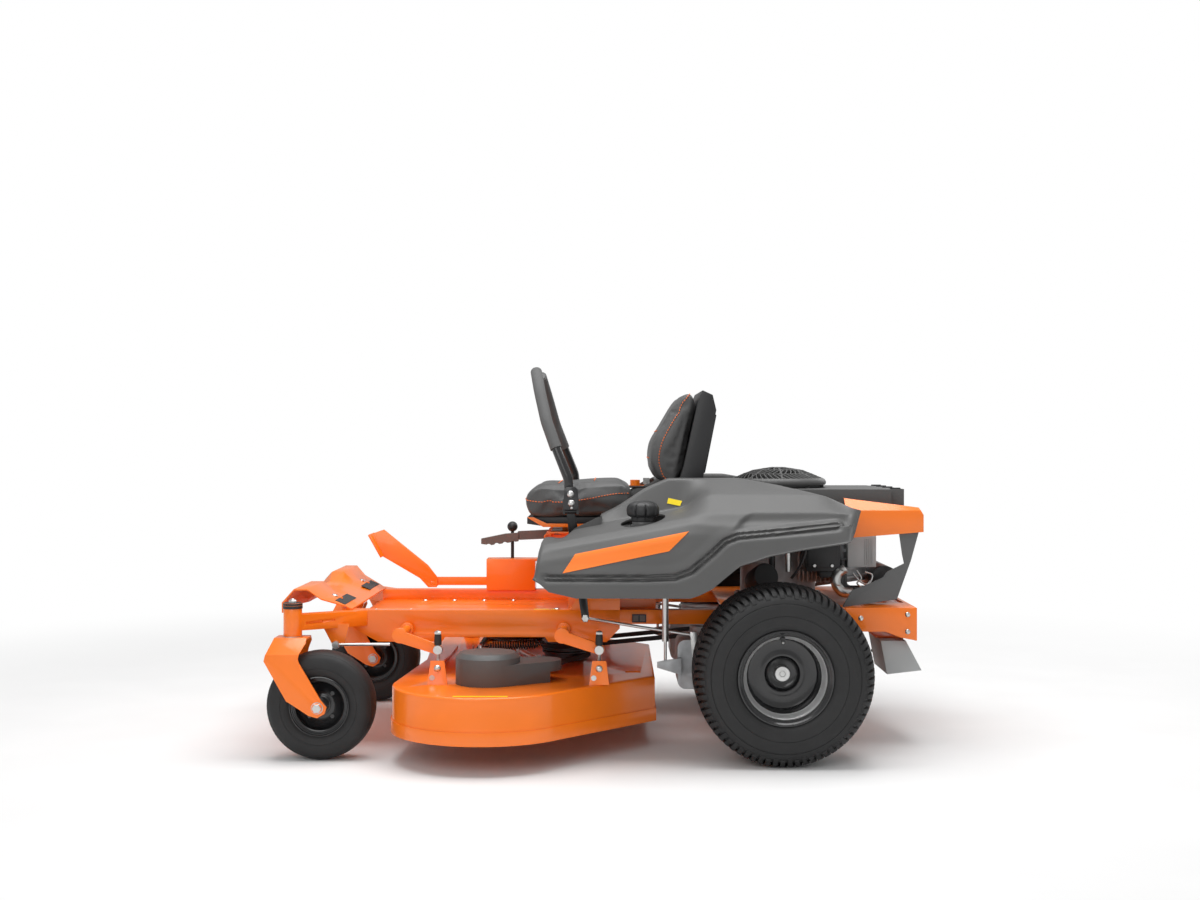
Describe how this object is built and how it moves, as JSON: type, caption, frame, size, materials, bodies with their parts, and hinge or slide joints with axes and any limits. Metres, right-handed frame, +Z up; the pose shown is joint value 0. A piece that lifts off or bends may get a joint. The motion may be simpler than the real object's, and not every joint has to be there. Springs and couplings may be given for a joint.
{
  "type": "zero turn mower",
  "caption": "Ride-on zero turn mower with lap-bar steering, caster front wheels, belly deck with side chute, sprung controls and rear V-twin engine.",
  "frame": {"origin": "on the ground under the middle of the machine's footprint, chute included", "axes": "-X is the driving direction, +Y is the operator's right, +Z is up"},
  "size_m": [1.741, 1.628, 1.0346],
  "materials": {
    "orange_paint": "gloss powder coat",
    "black_paint": "satin powder coat",
    "grey_paint": "satin powder coat",
    "dark_plastic": "moulded, fine grain",
    "black_plastic": "moulded, fine grain",
    "tyre_rubber": "matt",
    "rim_paint": "gloss black with bright ring",
    "zinc": "zinc plated",
    "cast_metal": "as cast",
    "blade_steel": "ground edge",
    "seat_vinyl": "grained vinyl with contrast stitching",
    "foam": "soft foam sleeve",
    "belt_rubber": "matt",
    "grip_grey": "moulded"
  },
  "bodies": {
    "chassis": {"frame_left": "orange_paint", "frame_right": "orange_paint", "rear_frame": "orange_paint", "foot_guard": "orange_paint", "floor_pan": "orange_paint", "rear_panels": "orange_paint", "fender_left": "dark_plastic", "fender_right": "dark_plastic", "fuel_tank": "black_plastic", "battery": "black_plastic", "engine_block": "cast_metal", "engine_shroud": "dark_plastic", "drive_belt": "belt_rubber", "transaxle_left": "cast_metal", "transaxle_right": "cast_metal"},
    "crank": {"crankshaft": "zinc"},
    "cap": {"fuel_cap": "black_plastic"},
    "seat_base": {"seat_plate": "orange_paint"},
    "seat": {"seat_shell": "black_plastic", "seat_cushion": "seat_vinyl", "back_cushion": "seat_vinyl"},
    "lift_hand_lever": {"lift_lever": "grip_grey"},
    "parking_brake": {"brake_lever": "black_plastic"},
    "pedal": {"foot_pedal": "orange_paint"},
    "key": {"ignition_key": "zinc"},
    "clutch_knob": {"pto_knob": "black_plastic"},
    "deck": {"deck_shell": "orange_paint", "belt_covers": "dark_plastic", "deck_fittings": "zinc", "spindle_housings": "cast_metal", "deck_belt": "belt_rubber"},
    "idler": {"belt_idler": "zinc"},
    "chute": {"discharge_chute": "black_plastic"},
    "left_blade": {"blade_left": "blade_steel"},
    "middle_blade": {"blade_middle": "blade_steel"},
    "right_blade": {"blade_right": "blade_steel"},
    "front_lift": {"lift_shaft_front": "orange_paint"},
    "rear_lift": {"lift_shaft_rear": "orange_paint"},
    "caster_left": {"caster_fork_left": "orange_paint"},
    "caster_wheel_left": {"caster_tyre_left": "tyre_rubber", "caster_rim_left": "rim_paint"},
    "rear_wheel_left": {"rear_tyre_left": "tyre_rubber", "rear_rim_left": "rim_paint"},
    "arm_left": {"control_arm_left": "black_paint"},
    "bar_left": {"lap_bar_left": "black_paint", "lap_grip_left": "foam"},
    "rod_left": {"control_rod_left": "zinc"},
    "pump_left": {"pump_lever_left": "zinc"},
    "damper_tube_left": {"damper_left": "zinc"},
    "caster_right": {"caster_fork_right": "orange_paint"},
    "caster_wheel_right": {"caster_tyre_right": "tyre_rubber", "caster_rim_right": "rim_paint"},
    "rear_wheel_right": {"rear_tyre_right": "tyre_rubber", "rear_rim_right": "rim_paint"},
    "arm_right": {"control_arm_right": "black_paint"},
    "bar_right": {"lap_bar_right": "black_paint", "lap_grip_right": "foam"},
    "rod_right": {"control_rod_right": "zinc"},
    "pump_right": {"pump_lever_right": "zinc"},
    "damper_tube_right": {"damper_right": "zinc"}
  },
  "joints": [
    {"name": "left_caster_swivel", "type": "hinge", "parent": "chassis", "child": "caster_left", "pos_m": [-0.8055, -0.575, 0.355], "axis": [0, 0, 1], "continuous": true},
    {"name": "left_caster_roll", "type": "hinge", "parent": "caster_left", "child": "caster_wheel_left", "pos_m": [-0.7295, -0.575, 0.141], "axis": [0, 1, 0], "continuous": true},
    {"name": "left_rear_roll", "type": "hinge", "parent": "chassis", "child": "rear_wheel_left", "pos_m": [0.4655, -0.605, 0.229], "axis": [0, 1, 0], "continuous": true},
    {"name": "left_control", "type": "hinge", "parent": "chassis", "child": "arm_left", "pos_m": [-0.0625, -0.466, 0.505], "axis": [0, 1, 0], "range_deg": [-20, 12]},
    {"name": "left_bar_swing", "type": "hinge", "parent": "arm_left", "child": "bar_left", "pos_m": [-0.0825, -0.475, 0.64], "axis": [1, 0, 0], "range_deg": [0, 55]},
    {"name": "left_rod_turn", "type": "hinge", "parent": "arm_left", "child": "rod_left", "pos_m": [-0.0435, -0.471, 0.354], "axis": [0, 1, 0], "range_deg": [-14, 22]},
    {"name": "left_pump_turn", "type": "hinge", "parent": "chassis", "child": "pump_left", "pos_m": [0.2595, -0.478, 0.2], "axis": [0, 1, 0], "range_deg": [-18, 29]},
    {"name": "left_damper_slide", "type": "slide", "parent": "chassis", "child": "damper_tube_left", "axis": [0, 0, 1], "range_m": [-0.018, 0.012]},
    {"name": "right_caster_swivel", "type": "hinge", "parent": "chassis", "child": "caster_right", "pos_m": [-0.8055, 0.315, 0.355], "axis": [0, 0, 1], "continuous": true},
    {"name": "right_caster_roll", "type": "hinge", "parent": "caster_right", "child": "caster_wheel_right", "pos_m": [-0.7295, 0.315, 0.141], "axis": [0, 1, 0], "continuous": true},
    {"name": "right_rear_roll", "type": "hinge", "parent": "chassis", "child": "rear_wheel_right", "pos_m": [0.4655, 0.345, 0.229], "axis": [0, 1, 0], "continuous": true},
    {"name": "right_control", "type": "hinge", "parent": "chassis", "child": "arm_right", "pos_m": [-0.0625, 0.206, 0.505], "axis": [0, 1, 0], "range_deg": [-20, 12]},
    {"name": "right_bar_swing", "type": "hinge", "parent": "arm_right", "child": "bar_right", "pos_m": [-0.0825, 0.215, 0.64], "axis": [-1, 0, 0], "range_deg": [0, 55]},
    {"name": "right_rod_turn", "type": "hinge", "parent": "arm_right", "child": "rod_right", "pos_m": [-0.0435, 0.211, 0.354], "axis": [0, 1, 0], "range_deg": [-14, 22]},
    {"name": "right_pump_turn", "type": "hinge", "parent": "chassis", "child": "pump_right", "pos_m": [0.2595, 0.218, 0.2], "axis": [0, 1, 0], "range_deg": [-18, 29]},
    {"name": "right_damper_slide", "type": "slide", "parent": "chassis", "child": "damper_tube_right", "axis": [0, 0, 1], "range_m": [-0.018, 0.012]},
    {"name": "deck_lift", "type": "slide", "parent": "chassis", "child": "deck", "axis": [0, 0, 1], "range_m": [0, 0.04], "deforming": ["drive_belt"]},
    {"name": "front_lift_turn", "type": "hinge", "parent": "chassis", "child": "front_lift", "pos_m": [-0.5255, -0.13, 0.32], "axis": [0, -1, 0], "range_deg": [0, 23]},
    {"name": "rear_lift_turn", "type": "hinge", "parent": "chassis", "child": "rear_lift", "pos_m": [-0.1025, -0.13, 0.32], "axis": [0, -1, 0], "range_deg": [0, 23]},
    {"name": "pedal_turn", "type": "hinge", "parent": "chassis", "child": "pedal", "pos_m": [-0.5225, 0.111, 0.392], "axis": [0, -1, 0], "range_deg": [0, 15.5]},
    {"name": "lift_lever_turn", "type": "hinge", "parent": "chassis", "child": "lift_hand_lever", "pos_m": [-0.1065, 0.132, 0.545], "axis": [0, 1, 0], "range_deg": [0, 22.5]},
    {"name": "brake_turn", "type": "hinge", "parent": "chassis", "child": "parking_brake", "pos_m": [-0.2825, 0.17, 0.4], "axis": [0, 1, 0], "range_deg": [0, 22]},
    {"name": "cap_turn", "type": "hinge", "parent": "chassis", "child": "cap", "pos_m": [0.1085, -0.57, 0.64], "axis": [0, 0, 1], "range_deg": [0, 270]},
    {"name": "key_turn", "type": "hinge", "parent": "chassis", "child": "key", "pos_m": [0.1325, 0.17, 0.69], "axis": [0, 0, -1], "range_deg": [0, 90]},
    {"name": "clutch_pull", "type": "slide", "parent": "chassis", "child": "clutch_knob", "axis": [0, 0, 1], "range_m": [0, 0.012]},
    {"name": "seat_tilt", "type": "hinge", "parent": "chassis", "child": "seat_base", "pos_m": [-0.1525, -0.13, 0.559], "axis": [0, -1, 0], "range_deg": [0, 38]},
    {"name": "seat_slide", "type": "slide", "parent": "seat_base", "child": "seat", "axis": [1, 0, 0], "range_m": [-0.05, 0.05]},
    {"name": "crank_spin", "type": "hinge", "parent": "chassis", "child": "crank", "pos_m": [0.5065, -0.13, 0.4], "axis": [0, 0, 1], "continuous": true},
    {"name": "left_blade_spin", "type": "hinge", "parent": "deck", "child": "left_blade", "pos_m": [-0.3005, -0.566, 0.15], "axis": [0, 0, 1], "continuous": true},
    {"name": "middle_blade_spin", "type": "hinge", "parent": "deck", "child": "middle_blade", "pos_m": [-0.1075, -0.13, 0.15], "axis": [0, 0, 1], "continuous": true},
    {"name": "right_blade_spin", "type": "hinge", "parent": "deck", "child": "right_blade", "pos_m": [-0.3005, 0.306, 0.15], "axis": [0, 0, 1], "continuous": true},
    {"name": "chute_lift", "type": "hinge", "parent": "deck", "child": "chute", "pos_m": [-0.2825, 0.559, 0.202], "axis": [1, 0, 0], "range_deg": [0, 75]},
    {"name": "idler_turn", "type": "hinge", "parent": "deck", "child": "idler", "pos_m": [-0.2325, -0.19, 0.21], "axis": [0, 0, -1], "range_deg": [0, 12]}
  ],
  "couplings": [
    {"joint": "left_rod_turn", "follows": "left_control", "ratio": -1.05},
    {"joint": "left_pump_turn", "follows": "left_control", "ratio": -1.36},
    {"joint": "left_damper_slide", "follows": "left_control", "m_per_rad": 0.045},
    {"joint": "right_rod_turn", "follows": "right_control", "ratio": -1.05},
    {"joint": "right_pump_turn", "follows": "right_control", "ratio": -1.36},
    {"joint": "right_damper_slide", "follows": "right_control", "m_per_rad": 0.045},
    {"joint": "front_lift_turn", "follows": "deck_lift", "rad_per_m": 9.87},
    {"joint": "rear_lift_turn", "follows": "deck_lift", "rad_per_m": 9.87},
    {"joint": "pedal_turn", "follows": "deck_lift", "rad_per_m": 6.5},
    {"joint": "lift_lever_turn", "follows": "deck_lift", "rad_per_m": 9.6},
    {"joint": "left_blade_spin", "follows": "crank_spin", "ratio": 1},
    {"joint": "middle_blade_spin", "follows": "crank_spin", "ratio": 1},
    {"joint": "right_blade_spin", "follows": "crank_spin", "ratio": 1}
  ]
}
